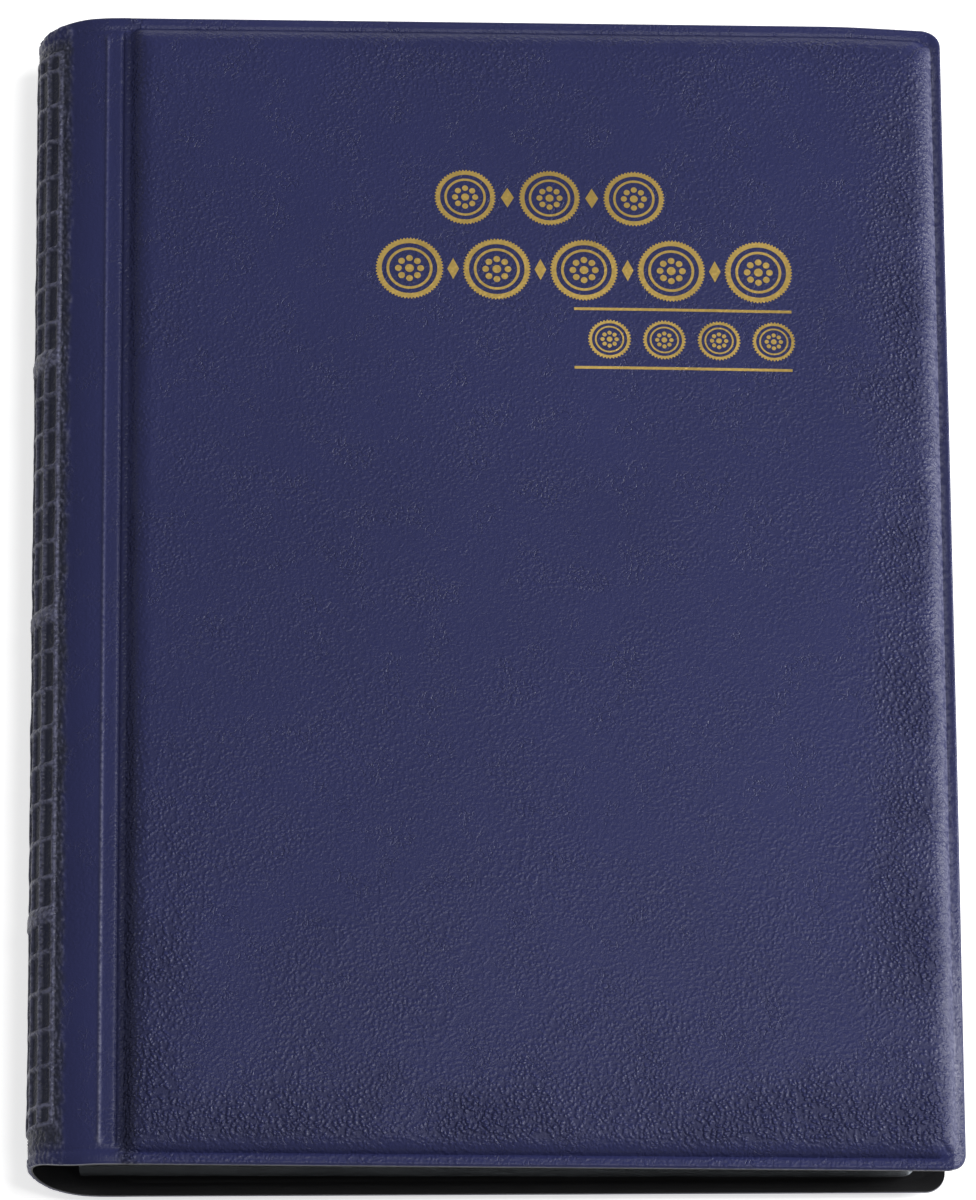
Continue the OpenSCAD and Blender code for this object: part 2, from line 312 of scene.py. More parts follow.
def round_corner(x, y, width, radius, reach=12.0):
    """Moves a point near a fore corner so that the cover's square grid gets a round corner."""
    qx, qy = (x - (width - reach)) / reach, (abs(y) - (HALF_H - reach)) / reach
    if qx <= 0 or qy <= 0:
        return x, y
    t = min(qx, qy) / max(qx, qy)
    rho = radius / reach
    c = 1 - rho
    if t <= c:
        return x, y
    both, square = c * (1 + t), 1 + t * t
    k = (both + math.sqrt(max(both * both - square * (2 * c * c - rho * rho), 0))) / square
    return width - reach + qx * k * reach, math.copysign(HALF_H - reach + qy * k * reach, y)


def panel_inset(x, y, width):
    """How far a point lies inside the panel's foot; below 0 on the rim."""
    s = album_sizes()
    fore = width - x - s.rim_fore_w / MM
    end = HALF_H - abs(y) - s.rim_end_w / MM
    corner_blend, foot_blend = 1.2, 1.6
    return soft_min(soft_min(fore, end, corner_blend), x - SHEET_START, foot_blend)


def left_foot(x):
    """Share of the panel's height kept beside the groove, where its foot is soft."""
    return smooth(0.5, 2.5, x)


def shoulder(inset, rise, crown):
    """Height of the padded panel over the rim at that inset."""
    w = album_sizes().shoulder_w / MM
    if inset <= 0:
        return 0.0
    crown_w = 48.0
    u = min(inset / w, 1.0)
    q = min(max(inset - w, 0.0) / crown_w, 1.0)
    sag = 0.15 * hill(inset, 0.0, 7.0)
    profile = (1 - (1 - u) ** 2.1) ** 0.7
    return rise * (1 - sag) * profile + crown * (1 - (1 - q * q) ** 2)


def end_weld(edge):
    """Depth of the weld line across the hinge, by the distance from the head or tail edge."""
    return 0.15 * hill(edge, 2.25, 0.35)


def foot_grain(x, y):
    """How much rougher the film is at a panel's foot beside the groove, most towards the tail."""
    return hill(x, 1.7, 1.3) * (0.7 + 0.9 * smooth(30, -90, y))


def foot_shade(x, y):
    """How much darker the film is at a panel's foot beside the groove, towards the tail: painted shade standing
    in for the shadow of the panel's shoulder.
    """
    return 0.45 * hill(x, 1.5, 1.2) * smooth(40, -90, y)


def film_height(x, y, width, rise, crown, waves):
    """Height of the film's outer face over the flat rim, with its weld, bead and waves."""
    inset = panel_inset(x, y, width)
    edge = min(width - x, HALF_H - abs(y))
    h = shoulder(inset, rise, crown) * left_foot(x)
    off_groove = smooth(1.0, 3.0, x)
    h -= 0.16 * hill(inset, -0.22, 0.2) * off_groove + end_weld(edge) * (1 - off_groove)
    bead = 0.10 * hill(edge, 0.42, 0.2) + 0.05 * hill(edge, 1.2, 0.22)
    rounded = 0.16 * (1 - smooth(0.0, 0.2, edge))
    h += bead - rounded
    lift = smooth(0.5, 9.0, inset)
    pucker = smooth(0.2, 1.4, inset) * (1 - smooth(3.0, 8.0, inset))
    wave = 0.07 * ripple(x, y, 34, 1.3) + 0.035 * ripple(x + y * 0.6, y, 13, 4.1)
    fold = 0.05 * ripple(x, y, 3.2, 7.7) + 0.04 * ripple(x, y, 1.7, 2.9)
    rim = 0.02 * ripple(x, y, 5.0, 9.1)
    return h + waves * (wave * lift + fold * pucker + rim * (1 - lift))


class SpineForm:
    """The closed spine's outer line, by arc length in mm from the front groove to the back one."""

    def __init__(self):
        s = album_sizes()
        self.half = s.strip_half
        x1, z1 = FOLD["upper_border_fold"]
        crest = (z1 - MID_Z) / math.sin(self.half)
        self.strip_cx = x1 + crest * math.cos(self.half)
        self.strip_r = crest - s.rib_h / MM
        rise = FRONT_Z - MID_Z
        self.side_r = (rise - self.strip_r * math.sin(self.half)) / (1 - math.sin(self.half))
        self.side_cx = self.strip_cx + (self.side_r - self.strip_r) * math.cos(self.half)
        self.flat = GROOVE_X - self.side_cx
        self.side_l = self.side_r * (math.pi / 2 - self.half)
        self.border = self.flat + self.side_l
        self.middle = self.border + self.strip_r * self.half
        self.total = 2 * self.middle
        self.wedge = s.wedge

    def past_strip(self, l):
        """How far outside the embossed strip; below 0 on it."""
        return abs(l - self.middle) - (self.middle - self.border)

    def past_groove(self, l):
        """How far past the nearer groove, onto the cover; below 0 on the spine."""
        return -l if l < self.middle else l - self.total

    def point(self, l):
        """(x, z) on the outer line and the outward normal there."""
        if l > self.middle:
            x, z, nx, nz = self.point(self.total - l) if l <= self.total else (
                GROOVE_X + l - self.total, FRONT_Z, 0.0, 1.0)
            return x, 2 * MID_Z - z, nx, -nz
        if l < 0:
            return (GROOVE_X - l * math.cos(self.wedge), FRONT_Z + l * math.sin(self.wedge),
                    math.sin(self.wedge), math.cos(self.wedge))
        if l < self.flat:
            return GROOVE_X - l, FRONT_Z, 0.0, 1.0
        if l < self.border:
            cx, cz, r = self.side_cx, FRONT_Z - self.side_r, self.side_r
            a = math.pi / 2 - (l - self.flat) / r
        else:
            cx, cz, r = self.strip_cx, MID_Z, self.strip_r
            a = (self.middle - l) / r
        return cx - r * math.cos(a), cz + r * math.sin(a), -math.cos(a), math.sin(a)

    def place(self, l, y, out):
        """The point at arc length l and height y along the album, out from the outer line."""
        x, z, nx, nz = self.point(l)
        reach, end_w, end_in = 87.0, 9.0, 1.65
        if abs(y) > reach and x < LEFT_X + end_w:
            r = (end_in ** 2 + end_w ** 2) / (2 * end_in)
            end = HALF_H - r + math.sqrt(max(r * r - (x - LEFT_X - end_w) ** 2, 0))
            y = math.copysign(reach + (abs(y) - reach) * (end - reach) / (HALF_H - reach), y)
        return Vector((x + nx * out, y, z + nz * out))


def rung_lines():
    """(place, half width) of each rib that crosses the spine, from the head down."""
    s = album_sizes()
    half, pitch = s.rib_w / MM / 2, s.rung_pitch / MM
    head, first, tail, broad, bands = 90.0, 87.0, -88.0, 1.45, (8, 15, 23)
    between = [(first - pitch * k, broad if k in bands else half) for k in range(29)]
    return [(head, half), *between, (tail, half)]


def emboss(form, rungs, l, y):
    """(height over the film, share of a rib) of the grid on the spine at that place."""
    s = album_sizes()
    rib_h, half = s.rib_h / MM, s.rib_w / MM / 2
    rib_h *= 1.5 + 0.5 * ripple(l, y, 2.3, 5.5)
    out = form.past_strip(l)
    past = max(out, y - rungs[0][0], rungs[-1][0] - y)
    if past > 0:
        zone = smooth(0.1, 0.5, past) * (1 - smooth(1.3, 2.4, out + 0.5 * ripple(l, y, 1.6, 2.2)))
        wrinkle = zone * max(ripple(l * 1.6, y, 0.6, 3.3) + 0.15, 0.0)
        share = 1 - smooth(half * 0.45, half * 1.25, past)
        return rib_h * share + 0.22 * wrinkle, max(share, wrinkle)
    y += 0.3 * ripple(l, y, 5.0, 8.8)
    column = 2 * (form.middle - form.border) / 6
    across = (l - form.border + 0.12 * ripple(y, l, 4.0, 1.8)) % column
    dx, hx = abs(across - column / 2), column / 2 - half
    for (y1, h1), (y0, h0) in zip(rungs, rungs[1:]):
        if y >= y0:
            break
    high, low = y1 - h1, y0 + h0
    dy, hy = abs(y - (high + low) / 2), (high - low) / 2
    corner = 0.38
    qx, qy = dx - hx + corner, dy - hy + corner
    d = math.hypot(max(qx, 0), max(qy, 0)) + min(max(qx, qy), 0) - corner
    share = smooth(-0.16, 0.24, d)
    extra = 0.0
    for yk, hk in rungs:
        if hk > 1 and abs(y - yk) < hk + 0.4:
            extra = (0.16 + 0.12 * ripple(l, y, 0.9, 3.3)) * (1 - smooth(hk * 0.5, hk, abs(y - yk)))
    cell, flank = 0.16, 0.14
    sunk = cell * smooth(0.0, 0.5, hx + flank - dx) * smooth(0.0, 0.5, hy + flank - dy)
    return rib_h * share - sunk + extra, share


def groove_relief(from_groove, y):
    """(height, painted highlight) of the film beside a cover's groove: groove, ridge, its knobs and the end
    rim; the painted highlight lightens the ridge and its knobs, more so towards the tail.
    """
    edge = HALF_H - abs(y)
    ridge = hill(from_groove, RIDGE_X, 0.2) * smooth(3.0, 4.4, edge)
    knob = hill(edge, 3.8, 0.7) * hill(from_groove, RIDGE_X, 0.4)
    groove = 0.34 * hill(from_groove, 0.0, 0.24) * smooth(2.0, 4.0, edge)
    end_rim = 0.12 * hill(edge, 1.25, 0.6) - end_weld(edge)
    uneven = 0.012 * ripple(from_groove, y, 1.1, 6.2)
    # painted highlight on the ridge and its knobs, brighter towards the tail
    ridge_highlight = (0.3 + 0.9 * smooth(40.0, -95.0, y)) * max(ridge, knob)
    return 0.16 * ridge + 0.12 * knob - groove + end_rim + uneven, ridge_highlight


# ---- materials


def math_node(tree, operation, a, b=None, clamp=False):
    """A Math node on sockets or numbers; returns its output."""
    node = tree.nodes.new("ShaderNodeMath")
    node.operation, node.use_clamp = operation, clamp
    for k, value in enumerate((a, b)):
        if value is None:
            continue
        if isinstance(value, (int, float)):
            node.inputs[k].default_value = value
        else:
            tree.links.new(value, node.inputs[k])
    return node.outputs[0]


def ramp(tree, value, low, high, to_low=0.0, to_high=1.0):
    """A smooth Map Range on a value; returns its output."""
    node = tree.nodes.new("ShaderNodeMapRange")
    node.interpolation_type = "SMOOTHSTEP"
    for k, number in zip((1, 2, 3, 4), (low, high, to_low, to_high)):
        node.inputs[k].default_value = number
    tree.links.new(value, node.inputs[0])
    return node.outputs[0]


def noise_node(tree, vector, scale, detail=2.0, roughness=0.5, output="Fac"):
    """A Noise Texture with a scale as a number or a socket; returns its output."""
    node = tree.nodes.new("ShaderNodeTexNoise")
    node.inputs["Detail"].default_value = detail
    node.inputs["Roughness"].default_value = roughness
    if isinstance(scale, (int, float)):
        node.inputs["Scale"].default_value = scale
    else:
        tree.links.new(scale, node.inputs["Scale"])
    tree.links.new(vector, node.inputs["Vector"])
    return node.outputs[output]


def warped(tree, vector, scale, amount):
    """The vector moved about by noise, by up to amount in metres."""
    moved = noise_node(tree, vector, scale, output="Color")
    for operation, number in (("SUBTRACT", 0.5), ("MULTIPLY", amount), ("ADD", None)):
        node = tree.nodes.new("ShaderNodeVectorMath")
        node.operation = operation
        tree.links.new(moved, node.inputs[0])
        if number is None:
            tree.links.new(vector, node.inputs[1])
        else:
            node.inputs[1].default_value = (number,) * 3
        moved = node.outputs[0]
    return moved


def leather_grain():
    """Pebbled grain with a few short strokes: a height, and masks of its valleys and its slow tone."""
    if "leather_grain" in bpy.data.node_groups:
        return bpy.data.node_groups["leather_grain"]
    group = bpy.data.node_groups.new("leather_grain", "ShaderNodeTree")
    for kind, way, titles in (("Vector", "INPUT", ("Vector",)), ("Float", "INPUT", ("Scale", "Crease")),
                              ("Float", "OUTPUT", ("Height", "Valley", "Tone"))):
        for title in titles:
            group.interface.new_socket(title, in_out=way, socket_type=f"NodeSocket{kind}")
    gin, gout = group.nodes.new("NodeGroupInput"), group.nodes.new("NodeGroupOutput")

    def times(a, b):
        return math_node(group, "MULTIPLY", a, b)

    vector, scale = gin.outputs["Vector"], gin.outputs["Scale"]
    bent = warped(group, vector, 700.0, 0.0008)
    pebble = group.nodes.new("ShaderNodeTexVoronoi")
    pebble.feature = "SMOOTH_F1"
    pebble.inputs["Smoothness"].default_value = 0.5
    group.links.new(bent, pebble.inputs["Vector"])
    group.links.new(scale, pebble.inputs["Scale"])
    dome = ramp(group, pebble.outputs["Distance"], 0.05, 0.72, 1.0, 0.0)
    share = math_node(group, "ADD", gin.outputs["Crease"], 0.25)
    uneven = ramp(group, noise_node(group, vector, 75.0), 0.30, 0.70, 0.45, 1.25)
    share = times(share, uneven)
    wander = noise_node(group, bent, times(scale, 0.55), 1.5)
    ridge = math_node(group, "ABSOLUTE", math_node(group, "SUBTRACT", wander, 0.5))
    patch = ramp(group, noise_node(group, vector, 170.0), 0.48, 0.66)
    stroke = times(ramp(group, ridge, 0.0, 0.05, 1.0, 0.0), patch)
    fine = noise_node(group, vector, times(scale, 2.2), 3.0, 0.6)
    height = times(dome, share)
    height = math_node(group, "ADD", height, times(fine, 0.35))
    height = math_node(group, "SUBTRACT", height, times(stroke, 0.30))
    valley = times(math_node(group, "SUBTRACT", 1.0, dome), share)
    valley = math_node(group, "ADD", valley, times(stroke, 0.2), clamp=True)
    tone = noise_node(group, vector, 28.0, 3.0, 0.55)
    for title, socket in (("Height", height), ("Valley", valley), ("Tone", tone)):
        group.links.new(socket, gout.inputs[title])
    return group


def grain_node(tree, vector, fineness=1.0):
    """The leather grain on that vector, with its pebbles that many times as fine."""
    node = tree.nodes.new("ShaderNodeGroup")
    node.node_tree = leather_grain()
    node.inputs["Scale"].default_value = fineness / album_finish().grain_size
    tree.links.new(vector, node.inputs["Vector"])
    return node


MADE = {}  # the materials made here, by name


def material_base(name):
    """A new material with its Principled shader; returns (material, tree, shader)."""
    material = MADE[name] = bpy.data.materials.new(name)
    material.use_nodes = True
    tree = material.node_tree
    return material, tree, tree.nodes["Principled BSDF"]


def coordinates(tree, by_uv=False):
    """Object coordinates, or the piece's own UV map where the pattern follows a bending film."""
    if by_uv:
        return tree.nodes.new("ShaderNodeUVMap").outputs["UV"]
    return tree.nodes.new("ShaderNodeTexCoord").outputs["Object"]


def attribute(tree, name):
    """A point attribute of the piece, as a number."""
    node = tree.nodes.new("ShaderNodeAttribute")
    node.attribute_name = name
    return node.outputs["Fac"]


def mix_colour(tree, share, a, b):
    """A colour between a and b; each is a colour or a socket."""
    node = tree.nodes.new("ShaderNodeMix")
    node.data_type = "RGBA"
    tree.links.new(share, node.inputs["Factor"])
    for socket, value in ((node.inputs[6], a), (node.inputs[7], b)):
        if hasattr(value, "links"):
            tree.links.new(value, socket)
        else:
            socket.default_value = (*value[:3], 1)
    return node.outputs[2]


def tint(colour, k):
    """The colour, k times as bright."""
    return tuple(min(c * k, 1.0) for c in colour[:3])


def bump(tree, height, distance, strength, normal=None):
    """A Bump node; returns its normal."""
    node = tree.nodes.new("ShaderNodeBump")
    node.inputs["Strength"].default_value = strength
    node.inputs["Distance"].default_value = distance
    tree.links.new(height, node.inputs["Height"])
    if normal is not None:
        tree.links.new(normal, node.inputs["Normal"])
    return node.outputs["Normal"]


def surface(tree, shader, colour, roughness, normal):
    """Links a colour, a roughness and a normal to a shader."""
    for title, socket in (("Base Color", colour), ("Roughness", roughness), ("Normal", normal)):
        tree.links.new(socket, shader.inputs[title])


def film(name, colour, by_uv=False, fineness=1.0, crease=0.0, depth=0.00024, rough=0.33, strip=None):
    """Leather-grained PVC film with its grain's valleys darkened as painted shade; with a strip colour it takes
    that on the strip and, as painted shade, at a panel's foot, and gets a painted highlight on the ribs, the
    ridge and the fore weld line.
    """
    if name in MADE:
        return MADE[name]
    material, tree, shader = material_base(name)
    vector = coordinates(tree, by_uv)
    grain = grain_node(tree, vector, fineness)
    amount = math_node(tree, "ADD", attribute(tree, "crease"), crease)
    tree.links.new(amount, grain.inputs["Crease"])
    shade = mix_colour(tree, grain.outputs["Tone"], tint(colour, 0.86), tint(colour, 1.14))
    if strip:
        # the strip's own colour on the spine's embossed strip, and painted shade at a panel's foot
        shade = mix_colour(tree, attribute(tree, "strip"), shade, strip)
        # painted highlight: the ribs, the ridge and the fore weld line lightened in specks, where light catches
        # them
        speck = ramp(tree, noise_node(tree, vector, 1500.0), 0.36, 0.62, 0.25, 1.0)
        painted_highlight = math_node(tree, "MULTIPLY", attribute(tree, "rib"), speck)
        shade = mix_colour(tree, painted_highlight, shade, PAINTED_HIGHLIGHT)
    # painted shade: the grain's valleys darkened
    low = math_node(tree, "MULTIPLY", grain.outputs["Valley"], 0.5)
    shade = mix_colour(tree, low, shade, tint(colour, 0.45))
    dull = ramp(tree, grain.outputs["Valley"], 0.0, 1.0, rough, rough + 0.2)
    surface(tree, shader, shade, dull, bump(tree, grain.outputs["Height"], depth, 0.85))
    shader.inputs["Specular IOR Level"].default_value = 0.28
    return material


def clear_film():
    """Clear soft PVC of the pages: whitish at its welds and, as a painted highlight, at each sheet's fore
    corners, with a slight waviness.
    """
    if "clear_page_film" in MADE:
        return MADE["clear_page_film"]
    colour = album_finish().page
    material, tree, shader = material_base("clear_page_film")
    vector = coordinates(tree)
    speck = ramp(tree, noise_node(tree, vector, 2600.0), 0.4, 0.6, 0.65, 1.0)
    # frosted welds, and the painted highlight at the sheets' corners
    frost_and_glint = math_node(tree, "MULTIPLY", attribute(tree, "weld"), speck)
    haze = noise_node(tree, vector, 45.0, 3.0, 0.6)
    clear, milky = ramp(tree, haze, 0.3, 0.7, 0.10, 0.16), ramp(tree, frost_and_glint, 0.2, 1.0, 0.0, 0.7)
    tree.links.new(math_node(tree, "ADD", clear, milky, clamp=True), shader.inputs["Alpha"])
    shade = mix_colour(tree, frost_and_glint, colour, tint(colour, 2.6))
    dull = ramp(tree, haze, 0.3, 0.75, 0.30, 0.42)
    wave = noise_node(tree, vector, 160.0)
    normal = bump(tree, wave, 0.00025, 0.5)
    surface(tree, shader, shade, dull, bump(tree, frost_and_glint, 0.00005, 0.6, normal))
    return material


def solid_stuff(name, light, dark, scale, depth, rough, sharp=False):
    """Foam, board or moulded strip: two tones of one colour, with the same pattern in the relief."""
    if name in MADE:
        return MADE[name]
    material, tree, shader = material_base(name)
    vector = coordinates(tree)
    if sharp:
        cell = tree.nodes.new("ShaderNodeTexVoronoi")
        cell.inputs["Scale"].default_value = scale
        tree.links.new(vector, cell.inputs["Vector"])
        pattern = ramp(tree, cell.outputs["Distance"], 0.1, 0.6)
    else:
        pattern = noise_node(tree, vector, scale, 5.0, 0.65)
    dull = ramp(tree, pattern, 0.0, 1.0, rough + 0.08, rough)
    surface(tree, shader, mix_colour(tree, pattern, dark, light), dull, bump(tree, pattern, depth, 0.7))
    return material


def foil():
    """Gold hot foil pressed into the grain, darker in the grain's valleys as painted shade."""
    colour = album_finish().foil
    material, tree, shader = material_base("gold_foil")
    grain = grain_node(tree, coordinates(tree))
    grain.inputs["Crease"].default_value = 0.2
    # painted shade: the foil darker in the grain's valleys
    shade = mix_colour(tree, grain.outputs["Valley"], colour, tint(colour, 0.62))
    dull = ramp(tree, grain.outputs["Tone"], 0.3, 0.7, 0.26, 0.38)
    surface(tree, shader, shade, dull, bump(tree, grain.outputs["Height"], 0.00004, 0.6))
    shader.inputs["Metallic"].default_value = 1.0
    return material


def cover_film():
    """The navy film of the padded covers."""
    finish = album_finish()
    # on the covers the spine's colour is only the painted shade at the panel's foot
    return film("padded_cover_film", finish.cover, strip=tuple(finish.spine))


def lining_film(by_uv=False):
    """The black film inside the covers, or on its own UV map inside the spine."""
    name = "black_spine_lining" if by_uv else "black_cover_lining"
    return film(name, album_finish().lining, by_uv, fineness=1.5, crease=0.1, depth=0.00004, rough=0.42)


# ---- operators


def edge_stops(a, b, rim_a, rim_b, step=1.3):
    """Stops over a cover, close together over the rims and shoulders at its two edges."""
    fine, span, lip, past_weld = 0.3, 4.4, 0.1, 0.08
    near = int((rim_a + span) / fine) if rim_a else 16
    far = int((rim_b + span) / fine)
    marks = [a + k * fine for k in range(near)] + [b - k * fine for k in range(far)]
    marks += [a + lip, a + 2 * lip, b - lip, b - 2 * lip, a + rim_a + past_weld, b - rim_b - past_weld]
    return stops(a, b, step, marks)


class COINALBUM_OT_covers(Operator):
    """Build the padded outer films of the front and back covers"""

    bl_idname = "coin_album.covers"
    bl_label = "Padded Covers"

    def execute(self, context):
        s = context.scene.album_sizes
        skin, lining = s.skin_t / MM, s.lining_t / MM
        for side, put, rise, crown, waves in (("front", on_front, s.front_rise / MM, s.front_crown / MM, 1.0),
                                              ("back", on_back, s.back_rise / MM, 0.0, 0.0)):
            width = cover_width(f"{side}_skin")

            def place(x, y, top):
                inset = panel_inset(x, y, width)
                if top:
                    z = lining + skin + film_height(x, y, width, rise, crown, waves)
                    if side == "back":
                        z = min(z, lining + skin + rise)
                else:
                    inner = inset - skin * (2 - min(max(inset, 0) / (s.shoulder_w / MM), 1))
                    z = lining + shoulder(inner, rise, crown) * left_foot(x) * 0.98
                px, py = round_corner(x, y, width, s.corner_r / MM)
                return put(px, py, z)

            def creases(x, y, top):
                inset = panel_inset(x, y, width)
                fore = 1 - smooth(5, 40, width - x)
                tail = 1 - smooth(5, 70, HALF_H + y)
                near = smooth(0.5, 3.0, inset) * hill(max(inset - 5.0, 0), 0.0, 6.0)
                less = 0.1 if inset < 0.3 else 0.0
                return near * (0.15 + 0.65 * max(fore, tail)) + 0.2 * tail + foot_grain(x, y) - less

            # painted highlight: a pale line along the fore weld, where the lit shoulder and rim catch the light
            def fore_rim_highlight(x, y, top):
                fore = width - x - s.rim_fore_w / MM
                return 0.9 * hill(fore, 0.0, 0.7) * smooth(1.5, 5.0, HALF_H - abs(y)) if top else 0.0

            bm = new_bmesh("crease", "strip", "rib")
            xs = edge_stops(SHEET_START, width, 0, s.rim_fore_w / MM)
            ys = edge_stops(-HALF_H, HALF_H, s.rim_end_w / MM, s.rim_end_w / MM)
            made = slab(bm, xs, ys, place)
            paint(bm, "crease", made, creases)
            # painted shade at the panel's foot beside the groove, carried in the strip attribute
            paint(bm, "strip", made, lambda x, y, top: foot_shade(x, y))
            paint(bm, "rib", made, fore_rim_highlight)
            piece = to_piece(bm, f"{side}_cover_film", cover_film())
            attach(piece, f"{side}_cover")
            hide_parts(f"{side}_skin")
        return {"FINISHED"}


class COINALBUM_OT_linings(Operator):
    """Build the lining films inside the two covers"""

    bl_idname = "coin_album.linings"
    bl_label = "Cover Linings"

    def execute(self, context):
        s = context.scene.album_sizes
        for side, put in (("front", on_front), ("back", on_back)):
            width = cover_width(f"{side}_lining")

            def place(x, y, top):
                px, py = round_corner(x, y, width, s.corner_r / MM)
                if top:
                    return put(px, py, s.lining_t / MM - 0.005)
                inset = panel_inset(x, y, width)
                seam = 0.07 * hill(inset, 0.0, 0.3) + 0.03 * smooth(-0.4, -0.8, inset)
                board = 0.03 * hill(inset, 1.9, 0.5)
                return put(px, py, seam + board)

            bm = bmesh.new()
            xs = edge_stops(SHEET_START, width, 0, s.rim_fore_w / MM, 3.0)
            ys = edge_stops(-HALF_H, HALF_H, s.rim_end_w / MM, s.rim_end_w / MM, 3.0)
            slab(bm, xs, ys, place)
            piece = to_piece(bm, f"{side}_cover_lining", lining_film())
            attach(piece, f"{side}_cover")
            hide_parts(f"{side}_lining")
        return {"FINISHED"}


def spine_parts(form):
    """Each spine piece's name, two arc lengths, two bodies, CAD node stem and the two ends of its blend."""
    rib_mid = form.border + (form.middle - form.border) / 3
    strip_mid = form.border / 2
    total = form.total
    beyond = SHEET_START + GROOVE_GAP
    middle_fold = form.strip_r * math.radians(22.2)
    parts = (  # name, arc length at the start, the fold and the end, body past the fold and before it
        ("front_groove", -beyond, 0.0, strip_mid, "spine_upper_strip", "front_cover"),
        ("upper_border", strip_mid, form.border, rib_mid, "spine_upper_rib", "spine_upper_strip"),
        ("upper_spine", rib_mid, form.middle - middle_fold, form.middle, "spine_middle", "spine_upper_rib"),
        ("lower_spine", form.middle, form.middle + middle_fold, total - rib_mid,
         "spine_lower_rib", "spine_middle"),
        ("lower_border", total - rib_mid, total - form.border, total - strip_mid,
         "spine_lower_strip", "spine_lower_rib"),
        ("back_groove", total - strip_mid, total, total + beyond, "back_cover", "spine_lower_strip"),
    )
    out = []
    for name, l0, fold, l1, after, before in parts:
        near = 0.9 if name.endswith("groove") else 1.9
        inward = 1e-6 if fold <= 0 else -1e-6 if fold >= total else 0.0
        x, z, nx, nz = form.point(fold + inward)
        middle, along = Vector((x, 0, z)), Vector((nz, 0, -nx)) * near
        node = None if after == "back_cover" else after
        out.append((name, l0, l1, after, before, node, (middle - along) * MM, (middle + along) * MM))
    return out


class COINALBUM_OT_spine(Operator):
    """Build the embossed spine film and the smooth hinge strips beside it"""

    bl_idname = "coin_album.spine"
    bl_label = "Spine Film"

    def execute(self, context):
        s = context.scene.album_sizes
        form, rungs = SpineForm(), rung_lines()
        flanks = [y + sign * h + d for y, h in rungs for sign in (-1, 1) for d in (-0.2, -0.08, 0.04, 0.18)]
        in_from_end = (0.08, 0.2, *[0.4 + 0.3 * k for k in range(15)])
        ends = [sign * (HALF_H - d) for sign in (-1, 1) for d in in_from_end]
        for name, l0, l1, a, b, node, start, end in spine_parts(form):
            ribbed = "spine" in name or "border" in name

            def relief(l, y):
                h, share = emboss(form, rungs, l, y) if ribbed else (0.0, 0.0)
                more, ridge_highlight = groove_relief(min(abs(l), abs(form.total - l)), y)
                if not 0 < l < form.total:
                    ridge_highlight = 0.0
                return h + more, max(share, ridge_highlight)

            def strip_and_foot_shade(l, y, top):
                if not top:
                    return 0.0
                off_end = smooth(1.5, 4.5, HALF_H - abs(y))
                ragged = form.past_strip(l) + 0.6 * ripple(l, y, 1.5, 2.2)
                # painted shade at the panel's foot beside the groove
                foot = foot_shade(form.past_groove(l) - GROOVE_GAP, y)
                return max(off_end * (1 - smooth(0.8, 2.3, ragged)), foot)

            def roughness(l, y, top):
                return foot_grain(form.past_groove(l), y) + 0.5 * strip_and_foot_shade(l, y, top) - 0.05

            def place(l, y, top):
                lip = -0.14 * (1 - smooth(0.0, 0.25, HALF_H - abs(y)))
                return form.place(l, y, relief(l, y)[0] + lip if top else -s.skin_t / MM)

            near_groove = (0.1, 0.25, 0.4, 0.6, 0.9)
            marks = [0.0, *near_groove, *[-d for d in near_groove], *[RIDGE_X + 0.15 * k for k in range(-3, 4)]]
            marks += [form.total - m for m in marks]
            step = 0.16 if "spine" in name else 0.4
            if "border" in name:
                fine = [form.border - 2.4 + 0.16 * k for k in range(50)]
                marks += fine + [form.total - m for m in fine]
            bm = new_bmesh("rib", "strip", "crease")
            xs = stops(l0, l1, step, [m for m in marks if l0 + 0.02 < m < l1 - 0.02])
            ys = stops(-HALF_H, HALF_H, 0.5 if ribbed else 1.5, (flanks if ribbed else []) + ends)
            made = slab(bm, xs, ys, place)
            # painted highlight on the ribs and the ridge, taken from their share
            paint(bm, "rib", made, lambda l, y, top: relief(l, y)[1] if top else 0.0)
            lay_uv(bm, made)
            paint(bm, "strip", made, strip_and_foot_shade)
            paint(bm, "crease", made, roughness)
            finish = context.scene.album_finish
            material = film("spine_strip_film", finish.cover, True, fineness=1.15, depth=0.00016,
                            strip=tuple(finish.spine))
            piece = to_piece(bm, f"{name}_film", material, 60)
            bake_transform(piece, a, b, start, end)
            if node:
                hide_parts(f"{node}_skin")
        return {"FINISHED"}


class COINALBUM_OT_spine_lining(Operator):
    """Build the lining film inside the spine"""

    bl_idname = "coin_album.spine_lining"
    bl_label = "Spine Lining"

    def execute(self, context):
        s = context.scene.album_sizes
        form = SpineForm()
        skin, lining = s.skin_t / MM, s.lining_t / MM
        for name, l0, l1, a, b, node, start, end in spine_parts(form):

            def place(l, y, top):
                fold = 0.03 * hill(min(abs(l), abs(l - form.total)), 0.0, 0.4)
                return form.place(l, y, -skin - 0.005 if top else -skin - lining + fold)

            bm = bmesh.new()
            xs = stops(l0, l1, 0.35)
            ys = stops(-HALF_H, HALF_H, 3.0, [sign * (HALF_H - d) for sign in (-1, 1) for d in (1, 2, 4, 6, 8)])
            made = slab(bm, xs, ys, place)
            lay_uv(bm, made)
            piece = to_piece(bm, f"{name}_lining", lining_film(True))
            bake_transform(piece, a, b, start, end)
            if node:
                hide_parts(f"{node}_lining")
        return {"FINISHED"}


